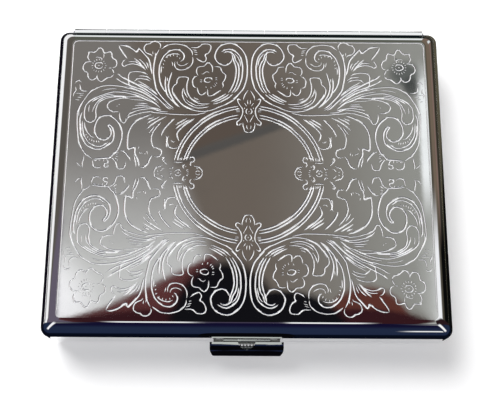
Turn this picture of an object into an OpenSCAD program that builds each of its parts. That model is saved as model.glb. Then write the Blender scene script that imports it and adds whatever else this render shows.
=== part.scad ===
// Hinged two-leaf cigarette case, closed, lying on its underside.
// X runs along the hinge, -Y is the clasp side, +Y the hinge side, Z is up.
// The origin is the middle of the flat underside of the lower leaf.

/* [Case] */
// Length of the case along its hinge
case_w = 95; // [88:0.5:104]
// Depth from the front wall to the back wall
case_d = 76.5; // [70:0.5:86]
// Thickness of the closed case
case_h = 18; // [17:0.5:20]
// Radius of the rolled edge round each cover
edge_r = 3.7; // [2.8:0.1:4.2]
// Radius of the four upright corners
corner_r = 2.2; // [1.4:0.1:3]
// Thickness of the cover sheet
sheet_t = 0.5; // [0.4:0.05:0.6]
// Seam between the two covers
seam_gap = 0.1; // [0.06:0.02:0.2]

/* [Frames] */
// Thickness of the strip frame inside each cover
frame_t = 0.5; // [0.4:0.05:0.7]
// Height of each strip frame
frame_h = 3.6; // [2.5:0.1:4.2]
// Height of the lip that enters the lid
lip_h = 0.8; // [0.5:0.1:1.2]
// Clearance round the lip
lip_clear = 0.1; // [0.08:0.01:0.2]

/* [Hinge] */
// Number of knuckles, odd
knuckle_count = 11; // [7:2:15]
// Outside diameter of the barrel
barrel_d = 3.8; // [3:0.1:4.2]
// Clearance between the barrel and the back walls
barrel_clear = 0.3; // [0.25:0.05:0.5]
// Diameter of the hinge pin
hinge_pin_d = 1.6; // [1.2:0.1:1.8]
// Thickness of the hinge plates
hinge_plate_t = 0.5; // [0.4:0.05:0.6]
// Side gap between knuckles
knuckle_gap = 0.12; // [0.08:0.02:0.2]
// Radial running clearance of every pin
running_clear = 0.05; // [0.02:0.01:0.1]

/* [Clasp] */
// Length of the clasp bar
clasp_w = 17.3; // [14:0.1:22]
// How far the clasp stands out from the front wall
clasp_proud = 3.4; // [3.2:0.1:3.8]
// Radius of the clasp's bulging face
clasp_r = 3.9; // [3.7:0.1:4.2]
// Sheet thickness of the clasp
clasp_t = 0.6; // [0.5:0.05:0.7]
// Radius of the thumb notch in its upper edge
notch_r = 2.08; // [1.6:0.1:2.4]
// Diameter of the clasp's pivot pin
clasp_pin_d = 0.8; // [0.6:0.1:0.9]
// Length of the catch bead on the lid
bead_len = 11; // [8:0.5:13]
// Radius of the catch bead
bead_r = 0.45; // [0.3:0.05:0.5]
// Thumb travel of the clasp in degrees
clasp_travel = 15; // [8:1:15]

/* [Retaining arms] */
// Width of each retaining arm
arm_w = 7; // [6:0.5:10]
// Distance from an arm's pivot to its tip
arm_len = 61.5; // [50:0.5:63]
// Thickness of the arm strip
arm_t = 0.45; // [0.35:0.05:0.5]
// Diameter of the arm's pivot pin
arm_pin_d = 1; // [0.8:0.1:1.2]
// Diameter of the rolled root of an arm
arm_root_d = 2.3; // [2:0.1:2.5]
// Wire diameter of the arm springs
arm_wire_d = 0.36; // [0.3:0.02:0.4]
// Turns in each arm spring
arm_turns = 4; // [3:1:4]

/* [Hidden] */
$fn = 48;
seam_z = case_h / 2;
leaf_h = seam_z - seam_gap / 2;
front_y = -case_d / 2;
back_y = case_d / 2;

// frames
frame_ow = case_w - 2 * sheet_t;
frame_od = case_d - 2 * sheet_t;
frame_r = corner_r - sheet_t;
frame_end_y = back_y - corner_r - 0.35;
lip_top = seam_z + lip_h;
lid_frame_low = lip_top + 0.2;

// hinge
barrel_r = barrel_d / 2;
axis_y = back_y + barrel_clear + barrel_r;
hinge_len = case_w - 2 * (corner_r + 0.3);
knuckle_pitch = hinge_len / knuckle_count;
hinge_pin_r = hinge_pin_d / 2;
web_top = leaf_h;
web_low = leaf_h - hinge_plate_t;
plate_in_y = back_y - sheet_t - hinge_plate_t;
plate_low = edge_r + 0.2;
head_r = hinge_pin_r + 0.5;
head_t = 0.4;

// clasp
clasp_cu = clasp_proud - clasp_r;
clasp_z = seam_z - 1.1;
clasp_stand = 0.55;
clasp_lip = 1;
clasp_lip_z = clasp_z + sqrt(pow(clasp_r, 2) - pow(clasp_lip - clasp_cu, 2));
clasp_end_r = 1.2;
clasp_pin_r = clasp_pin_d / 2;
clasp_pu = 1.3;
clasp_pz = seam_z - 2.6;
clasp_end_x = clasp_w / 2 - clasp_t;
lug_t = 0.6;
lug_r = clasp_pin_r + 0.4;
lug_x = clasp_end_x - 0.15;
pad_t = 0.5;
pad_low = clasp_pz - lug_r - 0.3;
pad_high = leaf_h - 0.45;
bead_z = seam_z + 1.2;
clasp_wire_r = 0.15;
clasp_coil_r = clasp_pin_r + 0.07 + clasp_wire_r;
clasp_turns = 6;
clasp_pitch = 0.78;

// retaining arms
arm_pin_r = arm_pin_d / 2;
arm_root_r = arm_root_d / 2;
arm_back = arm_root_r + 0.75;
arm_py = plate_in_y - arm_back;
arm_pz = leaf_h - 0.15 - arm_root_r;
arm_root_low = 0.1;
arm_high = arm_root_r - arm_t;
joggle_a = 5;
joggle_b = 6.4;
tip_r = 0.5;
tip_low = arm_root_r - 2 * tip_r;
arm_drop = arm_pz - sheet_t - 0.06 + tip_low;
arm_sink = asin(arm_drop / arm_len);
arm_coil_r = arm_pin_r + 0.12 + arm_wire_d / 2;
arm_pitch = arm_wire_d + 0.44;
arm_coil_half = arm_turns * arm_pitch / 2;
arm_slot_half = arm_coil_half + arm_wire_d / 2 + 0.12;
ear_in = arm_w / 2 + 0.15;
ear_t = 0.6;
ear_r = arm_root_r - 0.05;
bracket_t = 0.4;
bracket_low = plate_low + 0.3;
bracket_high = leaf_h - 0.65;
bracket_half = ear_in + ear_t + 3.2;
rivet_x = ear_in + ear_t + 1.7;
rivet_z = (bracket_low + bracket_high) / 2;
rivet_r = 0.5;
rivet_head_r = 0.95;
rivet_head_t = 0.35;

steel = [0.80, 0.81, 0.83];
bright = [0.87, 0.88, 0.90];
strip = [0.70, 0.68, 0.62];
dark = [0.45, 0.46, 0.50];

// Shared forms

// A bar of length len along X whose lower two edges are rounded.
module tray_bar(len, wide, high, r) {
  translate([-len / 2, 0, 0]) rotate([90, 0, 90]) linear_extrude(height = len)
    union() {
      translate([-wide / 2 + r, 0]) square([wide - 2 * r, high]);
      translate([-wide / 2, r]) square([wide, high - r]);
      translate([-wide / 2 + r, r]) circle(r = r);
      translate([wide / 2 - r, r]) circle(r = r);
    }
}

// An upright block with rounded corners.
module round_block(w, d, low, high, r) {
  translate([0, 0, low]) linear_extrude(height = high - low)
    union() {
      square([w - 2 * r, d], center = true);
      square([w, d - 2 * r], center = true);
      for (sx = [-1, 1], sy = [-1, 1])
        translate([sx * (w / 2 - r), sy * (d / 2 - r)]) circle(r = r);
    }
}

// The solid that one leaf's sheet encloses, floor at Z 0.
module tray_solid(w, d, high, r, cr) {
  intersection() {
    tray_bar(w + 2, d, high, r);
    rotate([0, 0, 90]) tray_bar(d + 2, w, high, r);
    round_block(w, d, -1, high + 1, cr);
  }
}

// One pressed cover, floor down, with the back wall lowered for its hinge plate.
module cover() {
  difference() {
    tray_solid(case_w, case_d, leaf_h, edge_r, corner_r);
    translate([0, 0, sheet_t])
      tray_solid(case_w - 2 * sheet_t, case_d - 2 * sheet_t, case_h,
                 edge_r - sheet_t, corner_r - sheet_t);
    translate([-hinge_len / 2 - 0.1, back_y - sheet_t - 0.2, web_low])
      cube([hinge_len + 0.2, sheet_t + 1, 5]);
  }
}

// A three-sided strip frame: front and both sides.
module strip_frame(low, high, shrink) {
  difference() {
    round_block(frame_ow - 2 * shrink, frame_od - 2 * shrink, low, high, frame_r - shrink);
    round_block(frame_ow - 2 * frame_t, frame_od - 2 * frame_t, low - 1, high + 1,
                frame_r - frame_t);
    translate([-case_w, frame_end_y, low - 2]) cube([2 * case_w, case_d, case_h]);
  }
}

module flip_leaf() {
  translate([0, 0, case_h]) mirror([0, 0, 1]) children();
}

module rod_x(r, x0, x1, y, z) {
  translate([x0, y, z]) rotate([0, 90, 0]) cylinder(r = r, h = x1 - x0);
}

// Knuckle number i of the hinge, with the web that ties it to its plate.
module knuckle(i) {
  x0 = -hinge_len / 2 + i * knuckle_pitch + knuckle_gap / 2;
  x1 = x0 + knuckle_pitch - knuckle_gap;
  difference() {
    union() {
      rod_x(barrel_r, x0, x1, axis_y, seam_z);
      translate([x0, back_y - 0.2, web_low])
        cube([x1 - x0, axis_y - hinge_pin_r - 0.35 - back_y + 0.2, hinge_plate_t]);
    }
    rod_x(hinge_pin_r + running_clear, x0 - 1, x1 + 1, axis_y, seam_z);
  }
}

// One half of the hinge: plate behind the wall, web over its edge, every other knuckle.
module hinge_half(first) {
  difference() {
    union() {
      translate([-hinge_len / 2, plate_in_y, plate_low])
        cube([hinge_len, hinge_plate_t, web_top - plate_low]);
      translate([-hinge_len / 2, plate_in_y, web_low])
        cube([hinge_len, back_y - plate_in_y, hinge_plate_t]);
      for (i = [first : 2 : knuckle_count - 1]) knuckle(i);
    }
    for (sx = [-1, 1]) translate([sx * rivet_x, plate_in_y - 1, rivet_z])
      rotate([-90, 0, 0]) cylinder(r = rivet_r + 0.02, h = hinge_plate_t + 2);
  }
}

// Springs: one swept wire each

ring_sides = 6;

// A ring of points round the wire: centre c, radial direction n, other direction X.
function wire_ring(c, n, r) =
  [for (k = [0 : ring_sides - 1]) let (f = k * 360 / ring_sides)
    c + r * (cos(f) * n + sin(f) * [1, 0, 0])];

// Stations [centre, radial] of a torsion spring about a pin at (py, pz).
// a0 and a1 are the angles where the legs leave; la and lb are the legs' lengths.
function spring_path(py, pz, rr, x0, pitch, a0, a1, la, lb, per) =
  let (n = round(abs(a1 - a0) / 360 * per), s = a1 > a0 ? 1 : -1,
       na = [0, cos(a0), sin(a0)], nb = [0, cos(a1), sin(a1)],
       ta = -s * [0, -sin(a0), cos(a0)], tb = s * [0, -sin(a1), cos(a1)],
       turns = abs(a1 - a0) / 360,
       pa = [x0, py, pz] + rr * na, pb = [x0 + pitch * turns, py, pz] + rr * nb)
  concat([[pa + la * ta, na], [pa + la / 2 * ta, na]],
         [for (i = [0 : n]) let (a = a0 + (a1 - a0) * i / n, u = [0, cos(a), sin(a)])
           [[x0 + pitch * turns * i / n, py, pz] + rr * u, u]],
         [[pb + lb / 2 * tb, nb], [pb + lb * tb, nb]]);

module wire(path, r) {
  n = len(path);
  pts = [for (st = path) for (p = wire_ring(st[0], st[1], r)) p];
  sides = [for (i = [0 : n - 2], k = [0 : ring_sides - 1])
    let (a = i * ring_sides + k, b = i * ring_sides + (k + 1) % ring_sides)
      for (t = [[a, b, b + ring_sides], [a, b + ring_sides, a + ring_sides]]) t];
  ends = concat([for (k = [1 : ring_sides - 2]) [0, k + 1, k]],
                [for (k = [1 : ring_sides - 2]) let (m = (n - 1) * ring_sides)
                  [m, m + k, m + k + 1]]);
  polyhedron(points = pts, faces = [for (f = concat(sides, ends)) [f[0], f[2], f[1]]]);
}

// Least distance between the wire's surfaces, at stations at least skip apart.
function wire_gap(path, r, skip) =
  min([for (i = [0 : len(path) - 1 - skip], j = [i + skip : len(path) - 1])
    norm(path[i][0] - path[j][0])]) - 2 * r;

clasp_path = spring_path(front_y - clasp_pu, clasp_pz, clasp_coil_r,
                         -clasp_turns * clasp_pitch / 2, clasp_pitch,
                         0, 180 + 360 * (clasp_turns - 1), 1, 0.45, 16);
arm_leg_tilt = 15;
arm_path = spring_path(arm_py, arm_pz, arm_coil_r, -arm_coil_half, arm_pitch,
                       arm_leg_tilt, 90 + arm_sink + 360 * arm_turns, 2.05, 3.9, 16);
echo(clasp_spring_least_gap = wire_gap(clasp_path, clasp_wire_r, 10));
echo(arm_spring_least_gap = wire_gap(arm_path, arm_wire_d / 2, 10));
echo(arm_sink_degrees = arm_sink);

// Covers, frames and hinge

module base_cover() color(bright) cover();

module lid_cover() color(bright) flip_leaf() cover();

module base_frame() color(strip) union() {
  strip_frame(leaf_h - frame_h, leaf_h, 0);
  strip_frame(leaf_h - frame_h / 2, lip_top, lip_clear);
}

module lid_frame() color(strip) strip_frame(lid_frame_low, lid_frame_low + frame_h, 0);

module base_hinge() color(steel) hinge_half(0);

module lid_hinge() color(steel) flip_leaf() hinge_half(1);

module hinge_pin() color(dark) union() {
  rod_x(hinge_pin_r, -hinge_len / 2, hinge_len / 2, axis_y, seam_z);
  for (sx = [-1, 1]) {
    x = sx * hinge_len / 2;
    rod_x(head_r, min(x, x + sx * head_t), max(x, x + sx * head_t), axis_y, seam_z);
  }
}

// The clasp
// Profiles are drawn as [distance out from the front wall, height].

module out_profile(x0, x1) {
  translate([x0, front_y, 0]) rotate([90, 0, 90])
    linear_extrude(height = x1 - x0) mirror([1, 0]) children();
}

// The part of the profile plane that stays clear of the wall over the whole travel.
module swing_space(start) {
  intersection() {
    translate([start, 0]) square([10, case_h]);
    translate([clasp_pu, clasp_pz]) rotate(clasp_travel)
      translate([-clasp_pu + 0.08, -20]) square([20, 40]);
  }
}

// Plan of the bar, its outer corners rounded.
module clasp_plan() {
  hull() {
    translate([-clasp_w / 2, front_y - 0.5]) square([clasp_w, 0.5]);
    for (sx = [-1, 1])
      translate([sx * (clasp_w / 2 - clasp_end_r), front_y - clasp_proud + clasp_end_r])
        circle(r = clasp_end_r, $fn = 48);
  }
}

module clasp_bar() color(bright) difference() {
  intersection() {
    linear_extrude(height = case_h) clasp_plan();
    clasp_shell();
  }
  translate([0, front_y - 0.2, clasp_z + 0.6]) cylinder(r = notch_r, h = clasp_r);
  rod_x(clasp_pin_r + running_clear, -clasp_w, clasp_w, front_y - clasp_pu, clasp_pz);
}

// The bulging strip, the flat lip above it and its two closed ends.
module clasp_shell() {
  union() {
    out_profile(-clasp_w / 2, clasp_w / 2)
      translate([clasp_stand, clasp_lip_z - clasp_t + 0.06])
        square([clasp_lip - clasp_stand + 0.05, clasp_t - 0.06]);
    out_profile(-clasp_w / 2, clasp_w / 2) intersection() {
      difference() {
        translate([clasp_cu, clasp_z]) circle(r = clasp_r, $fn = 96);
        translate([clasp_cu, clasp_z]) circle(r = clasp_r - clasp_t, $fn = 96);
      }
      swing_space(clasp_lip);
    }
    for (x = [-clasp_w / 2, clasp_end_x])
      out_profile(x, x + clasp_t) intersection() {
        translate([clasp_cu, clasp_z]) circle(r = clasp_r - clasp_t / 2, $fn = 96);
        swing_space(clasp_stand);
      }
  }
}

module clasp_bracket() color(strip) difference() {
  union() {
    translate([-lug_x, front_y - pad_t, pad_low])
      cube([2 * lug_x, pad_t, pad_high - pad_low]);
    for (x = [-lug_x, lug_x - lug_t]) {
      rod_x(lug_r, x, x + lug_t, front_y - clasp_pu, clasp_pz);
      translate([x, front_y - clasp_pu, clasp_pz - lug_r])
        cube([lug_t, clasp_pu - pad_t / 2, 2 * lug_r]);
    }
  }
  rod_x(clasp_pin_r + 0.01, -clasp_w, clasp_w, front_y - clasp_pu, clasp_pz);
}

module clasp_pin() color(dark)
  rod_x(clasp_pin_r, -clasp_w / 2 + 0.05, clasp_w / 2 - 0.05, front_y - clasp_pu, clasp_pz);

module clasp_spring() color(dark) wire(clasp_path, clasp_wire_r);

// A half-round bead on the lid's front wall, under the clasp's upper edge.
module catch_bead() color(steel) intersection() {
  rod_x(bead_r, -bead_len / 2, bead_len / 2, front_y, bead_z);
  translate([-case_w / 2, front_y - 2, 0]) cube([case_w, 2, case_h]);
}

// The retaining arms
// All are drawn for the lower leaf; the lid's are the same, mirrored at the seam.

module arm_bracket() difference() {
  union() {
    translate([-bracket_half, plate_in_y - bracket_t, bracket_low])
      cube([2 * bracket_half, bracket_t, bracket_high - bracket_low]);
    for (x = [-ear_in - ear_t, ear_in]) {
      rod_x(ear_r, x, x + ear_t, arm_py, arm_pz);
      translate([x, arm_py, arm_pz - ear_r])
        cube([ear_t, arm_back - bracket_t / 2, 2 * ear_r - 0.4]);
    }
  }
  rod_x(arm_pin_r + 0.01, -case_w, case_w, arm_py, arm_pz);
  for (sx = [-1, 1]) translate([sx * rivet_x, plate_in_y - 2, rivet_z])
    rotate([-90, 0, 0]) cylinder(r = rivet_r + 0.02, h = 4);
}

module arm_rivets() for (sx = [-1, 1])
  translate([sx * rivet_x, 0, rivet_z]) rotate([-90, 0, 0]) union() {
    translate([0, 0, plate_in_y - bracket_t]) cylinder(r = rivet_r, h = bracket_t + hinge_plate_t);
    translate([0, 0, plate_in_y - bracket_t - rivet_head_t])
      cylinder(r = rivet_head_r, h = rivet_head_t);
  }

module arm_pin() union() {
  x = ear_in + ear_t;
  rod_x(arm_pin_r, -x, x, arm_py, arm_pz);
  rod_x(arm_pin_r + 0.35, -x - 0.35, -x, arm_py, arm_pz);
  rod_x(arm_pin_r + 0.35, x, x + 0.35, arm_py, arm_pz);
}

// The arm lies along -Y from its pivot, joggled up past its spring, rolled at its tip.
module arm_level() difference() {
  union() {
    rod_x(arm_root_r, -arm_w / 2, arm_w / 2, 0, 0);
    translate([-arm_w / 2, 0, 0]) rotate([90, 0, 90]) linear_extrude(height = arm_w)
      polygon([[0, arm_root_low], [-joggle_a, arm_root_low], [-joggle_b, arm_high],
               [-arm_len, arm_high], [-arm_len, arm_high + arm_t],
               [-joggle_b + 0.2, arm_high + arm_t], [-joggle_a + 0.2, arm_root_low + arm_t],
               [0, arm_root_low + arm_t]]);
    rod_x(tip_r, -arm_w / 2, arm_w / 2, -arm_len, arm_root_r - tip_r);
  }
  rod_x(arm_pin_r + running_clear, -arm_w, arm_w, 0, 0);
  translate([-arm_slot_half, -arm_root_r - 0.15, -arm_root_d])
    cube([2 * arm_slot_half, arm_root_d + 1, 2 * arm_root_d]);
}

module arm_body() translate([0, arm_py, arm_pz]) rotate([arm_sink, 0, 0]) arm_level();

module base_arm() color(steel) arm_body();
module base_arm_bracket() color(strip) arm_bracket();
module base_arm_pin() color(dark) arm_pin();
module base_arm_rivets() color(dark) arm_rivets();
module base_arm_spring() color(dark) wire(arm_path, arm_wire_d / 2);

module lid_arm() color(steel) flip_leaf() arm_body();
module lid_arm_bracket() color(strip) flip_leaf() arm_bracket();
module lid_arm_pin() color(dark) flip_leaf() arm_pin();
module lid_arm_rivets() color(dark) flip_leaf() arm_rivets();
module lid_arm_spring() color(dark) flip_leaf() wire(arm_path, arm_wire_d / 2);

base_cover();
base_frame();
base_hinge();
hinge_pin();
base_arm_bracket();
base_arm_rivets();
base_arm_pin();
base_arm_spring();
base_arm();
clasp_bracket();
clasp_pin();
clasp_spring();
clasp_bar();
lid_cover();
lid_frame();
lid_hinge();
catch_bead();
lid_arm_bracket();
lid_arm_rivets();
lid_arm_pin();
lid_arm_spring();
lid_arm();
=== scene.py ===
# Looks of a closed two-leaf cigarette case with an engraved lid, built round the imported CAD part.
# Lengths are millimetres and angles degrees, but the finishes, cards and lamps are in metres.
import bpy
import bmesh
import math
from mathutils import Vector, Matrix, geometry, kdtree


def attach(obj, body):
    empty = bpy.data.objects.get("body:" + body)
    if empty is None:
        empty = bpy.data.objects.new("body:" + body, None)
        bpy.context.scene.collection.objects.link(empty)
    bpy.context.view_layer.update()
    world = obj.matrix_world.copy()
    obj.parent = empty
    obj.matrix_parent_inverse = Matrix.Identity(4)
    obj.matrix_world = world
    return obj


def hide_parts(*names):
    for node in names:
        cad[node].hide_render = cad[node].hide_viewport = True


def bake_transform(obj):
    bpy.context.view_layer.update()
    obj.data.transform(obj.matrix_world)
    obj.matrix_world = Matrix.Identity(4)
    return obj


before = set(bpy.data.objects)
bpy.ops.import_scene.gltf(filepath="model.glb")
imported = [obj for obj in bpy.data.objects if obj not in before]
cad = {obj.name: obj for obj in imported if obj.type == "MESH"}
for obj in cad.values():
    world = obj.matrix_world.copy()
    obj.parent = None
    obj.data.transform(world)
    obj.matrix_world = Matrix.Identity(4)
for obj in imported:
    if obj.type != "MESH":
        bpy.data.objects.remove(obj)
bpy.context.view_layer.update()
mm = 0.001
print("frame loaded:", len(cad), "nodes")


def link(tree, value, socket):
    if isinstance(value, Shade):
        tree.links.new(value.socket, socket)
    else:
        socket.default_value = value


def addNode(tree, kind, settings=None, inputs=None):
    made = tree.nodes.new(kind)
    for key, value in (settings or {}).items():
        setattr(made, key, value)
    for key, value in (inputs or {}).items():
        link(tree, value, made.inputs[key])
    return made


# A shader value that takes Python's operators, each of which adds its Math node.
class Shade:
    def __init__(self, tree, socket):
        self.tree = tree
        self.socket = socket

    def op(self, name, *values):
        made = addNode(self.tree, "ShaderNodeMath", {"operation": name}, dict(enumerate(values)))
        return Shade(self.tree, made.outputs[0])

    def __add__(self, other):
        return self.op("ADD", self, other)

    __radd__ = __add__

    def __sub__(self, other):
        return self.op("SUBTRACT", self, other)

    def __rsub__(self, other):
        return self.op("SUBTRACT", other, self)

    def __mul__(self, other):
        return self.op("MULTIPLY", self, other)

    __rmul__ = __mul__

    def __truediv__(self, other):
        return self.op("DIVIDE", self, other)

    def __rtruediv__(self, other):
        return self.op("DIVIDE", other, self)

    def root(self):
        return self.op("SQRT", self)

    def atLeast(self, other):
        return self.op("MAXIMUM", self, other)

    def atMost(self, other):
        return self.op("MINIMUM", self, other)

    def soft(self, low, high):
        made = addNode(self.tree, "ShaderNodeMapRange", {"interpolation_type": "SMOOTHSTEP"},
                       {0: self, 1: low, 2: high, 3: 0.0, 4: 1.0})
        return Shade(self.tree, made.outputs[0])


def mixColour(tree, factor, first, second):
    made = addNode(tree, "ShaderNodeMix", {"data_type": "RGBA"}, {0: factor, 6: first, 7: second})
    return Shade(tree, made.outputs[2])


def rgb(r, g, b):
    return (r, g, b, 1.0)


def noise(tree, stretch, kind):
    where = addNode(tree, "ShaderNodeTexCoord")
    mapped = addNode(tree, "ShaderNodeMapping", None,
                     {"Vector": Shade(tree, where.outputs["Object"]), "Scale": stretch})
    made = addNode(tree, "ShaderNodeTexNoise", None,
                   {"Vector": Shade(tree, mapped.outputs[0]), **noiseKinds[kind]})
    return Shade(tree, made.outputs[0])


def mark(tree, name):
    return Shade(tree, addNode(tree, "ShaderNodeAttribute", {"attribute_name": name}).outputs["Fac"])


# One finish for each slot. Smudges carry the colour from clean to handled and add "spread" to
# the roughness. The chrome is brushed inside the covers, and frosted in the engraved cuts, where
# "dull" is how much of the metal's mirror goes.
finishes = {
    "mirror_chrome": {"clean": (0.93, 0.93, 0.935), "handled": (0.89, 0.89, 0.90),
                      "rough": 0.016, "spread": 0.016, "grain": (700, 700, 700), "bump": 0.06,
                      "brushed": {"grain": (25, 9000, 900), "rough": 0.20, "spread": 0.12,
                                  "bump": 0.35},
                      "cut": {"low": 0.2, "high": 0.75, "rough": 0.27, "dull": 0.82}},
    "satin_chrome": {"clean": (0.80, 0.79, 0.77), "handled": (0.74, 0.73, 0.71),
                     "rough": 0.24, "spread": 0.06, "grain": (40, 7000, 7000), "bump": 0.8},
    "spring_steel": {"clean": (0.56, 0.57, 0.60), "handled": (0.47, 0.47, 0.50),
                     "rough": 0.20, "spread": 0.08, "grain": (1500, 1500, 1500), "bump": 0.4},
}
noiseKinds = {"smudge": {"Scale": 70, "Detail": 4.0, "Roughness": 0.6},
              "grain": {"Scale": 1.0, "Detail": 2.0, "Roughness": 0.5},
              "brush": {"Scale": 1.0, "Detail": 3.0, "Roughness": 0.6}}
smudges = {"low": 0.42, "high": 0.70}
grainRough = 0.25  # the part of a finish's roughness that its grain adds
bumpSize = {"Strength": 0.5, "Distance": 0.00002}


def metal(slot, look):
    mat = bpy.data.materials.new(slot)
    mat.use_nodes = True
    tree = mat.node_tree
    shader = tree.nodes["Principled BSDF"]
    shader.inputs["Metallic"].default_value = 1.0
    smudge = noise(tree, (1, 1, 1), "smudge").soft(smudges["low"], smudges["high"])
    fine = noise(tree, look["grain"], "grain")
    roughness = look["rough"] + look["spread"] * smudge + grainRough * look["rough"] * fine
    height = fine * look["bump"]
    if "cut" in look:
        brushed, cut = look["brushed"], look["cut"]
        within = mark(tree, "inside")
        frosted = mark(tree, "cut").soft(cut["low"], cut["high"])
        lines = noise(tree, brushed["grain"], "brush")
        roughness = roughness + within * (brushed["rough"] + brushed["spread"] * lines)
        roughness = roughness + frosted * cut["rough"]
        height = height * (1 - within) + within * lines * brushed["bump"]
        link(tree, 1 - frosted * cut["dull"], shader.inputs["Metallic"])
    link(tree, roughness, shader.inputs["Roughness"])
    link(tree, mixColour(tree, smudge, rgb(*look["clean"]), rgb(*look["handled"])),
         shader.inputs["Base Color"])
    bump = addNode(tree, "ShaderNodeBump", None, {**bumpSize, "Height": height})
    link(tree, Shade(tree, bump.outputs[0]), shader.inputs["Normal"])
    return mat


materials = {slot: metal(slot, look) for slot, look in finishes.items()}
print("materials made")


def place(name, data):
    obj = bpy.data.objects.new(name, data)
    bpy.context.scene.collection.objects.link(obj)
    return obj


def addPiece(name, mesh, slot, node):
    obj = place(name, mesh)
    mesh.materials.clear()
    mesh.materials.append(materials[slot])
    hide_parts(node)
    return obj


def finishMesh(bm, name, sharp):
    mesh = bpy.data.meshes.new(name)
    bm.to_mesh(mesh)
    bm.free()
    mesh.shade_smooth()
    mesh.set_sharp_from_angle(angle=math.radians(sharp))
    return mesh


# A pressed cover. The hinge notch runs "notch" to each side and is "drop" deep in the back wall.
# "lead" is where a wall starts below its roll, and "ease" rounds the rim.
cover = {"w": 95, "d": 76.5, "leaf": 8.95, "caseHigh": 18, "roll": 3.7, "corner": 2.2,
         "sheet": 0.5, "floorCorner": 1.0, "notch": 45.1, "drop": 0.5, "ease": 0.05, "lead": 0.2,
         "rollSteps": 14, "rollPace": 1.1, "cornerSteps": 12, "sharp": 13, "merge": 2e-4,
         "sliver": 1e-5}
# The flat panel within the rolls, in half sizes. Its middle is a little behind the case's.
panel = {"w": 43.8, "d": 34.72, "y": 0.33, "corner": 1.2, "rim": 0.1}


def outline(halfW, halfD, radius, centreY=0.0):
    # One loop of points. The back side carries two pairs, where the hinge notch starts and ends.
    points = []
    reach = (halfW - radius) * cover["notch"] / (cover["w"] / 2 - cover["corner"])
    for quarter, (sx, sy) in enumerate([(1, 1), (-1, 1), (-1, -1), (1, -1)]):
        for k in range(cover["cornerSteps"] + 1):
            a = math.radians(90 * (quarter + k / cover["cornerSteps"]))
            points.append(Vector((sx * (halfW - radius) + radius * math.cos(a),
                                  sy * (halfD - radius) + radius * math.sin(a) + centreY, 0)))
        if quarter == 0:
            for x in (reach, reach, -reach, -reach):
                points.append(Vector((x, halfD + centreY, 0)))
    return points


def rollRings(inner, outer, top, roll):
    # Rings down a quarter round, from the inner loop at the top to the outer loop.
    rings = []
    for k in range(cover["rollSteps"] + 1):
        a = math.pi / 2 * (k / cover["rollSteps"]) ** cover["rollPace"]
        rings.append([i + (o - i) * math.sin(a) + Vector((0, 0, top - roll * (1 - math.cos(a))))
                      for i, o in zip(inner, outer)])
    return rings


def wallRing(loop, z, drop=0.0):
    ring = [p + Vector((0, 0, z)) for p in loop]
    notchStart = cover["cornerSteps"] + 2  # the inner one of the first pair
    for k in (notchStart, notchStart + 1):
        ring[k].z += drop
    return ring


def shrunk(inward):
    return outline(cover["w"] / 2 - inward, cover["d"] / 2 - inward, cover["corner"] - inward)


def coverRings():
    # From the panel's border over the outside, round the rim and up the inside to the floor.
    c = cover
    outer, inner = shrunk(0), shrunk(c["sheet"])
    border = outline(panel["w"], panel["d"], panel["corner"], panel["y"])
    floor = outline(c["w"] / 2 - c["roll"], c["d"] / 2 - c["roll"], c["floorCorner"])
    outside = rollRings(border, outer, 0, c["roll"])
    outside.append(wallRing(outer, -c["roll"] - c["lead"]))
    outside.append(wallRing(outer, -c["leaf"] + c["ease"], c["drop"]))
    outside.append(wallRing(shrunk(c["ease"]), -c["leaf"], c["drop"]))
    inside = rollRings(floor, inner, -c["sheet"], c["roll"] - c["sheet"])
    inside.append(wallRing(inner, -c["roll"] - c["lead"]))
    inside.append(wallRing(inner, -c["leaf"] + c["ease"], c["drop"]))
    inside.append(wallRing(shrunk(c["sheet"] - c["ease"]), -c["leaf"], c["drop"]))
    return outside, inside[::-1]


# An engraved groove: its depth for each millimetre in from its rim, its steps along, how far its
# ends taper and what part of a short stroke a taper may take. A point less than "least" within
# the rim stays on the flat, and "search" is how far off a groove is looked for.
groove = {"slope": 0.66, "step": 0.32, "fine": 0.08, "taper": 1.2, "taperPart": 0.42,
          "least": 0.012, "search": 0.5, "merge": 1e-6}
weights = {"b": 0.215, "m": 0.165, "s": 0.115}  # half widths of broad, medium and slight strokes


def smoothPath(points):
    # A smooth curve through the points in even steps, each place with its distance along it.
    ends = [Vector(p) for p in points]
    ends = [2 * ends[0] - ends[1]] + ends + [2 * ends[-1] - ends[-2]]
    path = []
    for p0, p1, p2, p3 in zip(ends, ends[1:], ends[2:], ends[3:]):
        count = max(2, round((p2 - p1).length / groove["fine"]))
        for k in range(count):
            t = k / count
            path.append(0.5 * ((2 * p1) + (p2 - p0) * t + (2 * p0 - 5 * p1 + 4 * p2 - p3) * t * t
                               + (3 * p1 - p0 - 3 * p2 + p3) * t ** 3))
    path.append(ends[-2])
    lengths = [0.0]
    for a, b in zip(path, path[1:]):
        lengths.append(lengths[-1] + (b - a).length)
    total = lengths[-1]
    count = max(3, round(total / groove["step"]))
    out = []
    j = 0
    for k in range(count + 1):
        goal = total * k / count
        while j < len(path) - 2 and lengths[j + 1] < goal:
            j += 1
        span = max(lengths[j + 1] - lengths[j], 1e-9)
        out.append((path[j].lerp(path[j + 1], min(1, max(0, (goal - lengths[j]) / span))), goal))
    return out, total


def stations(points, half):
    # Along one stroke: the place, the direction to its side, and the half width there.
    path, total = smoothPath(points)
    last = len(path) - 1
    reach = min(groove["taper"], groove["taperPart"] * total)
    out = []
    for k, (here, along) in enumerate(path):
        ahead = (path[min(k + 1, last)][0] - path[max(k - 1, 0)][0]).normalized()
        taper = math.sin(math.pi / 2 * min(1.0, min(along, total - along) / reach))
        out.append((here, Vector((-ahead.y, ahead.x)), half * taper))
    return out


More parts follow.
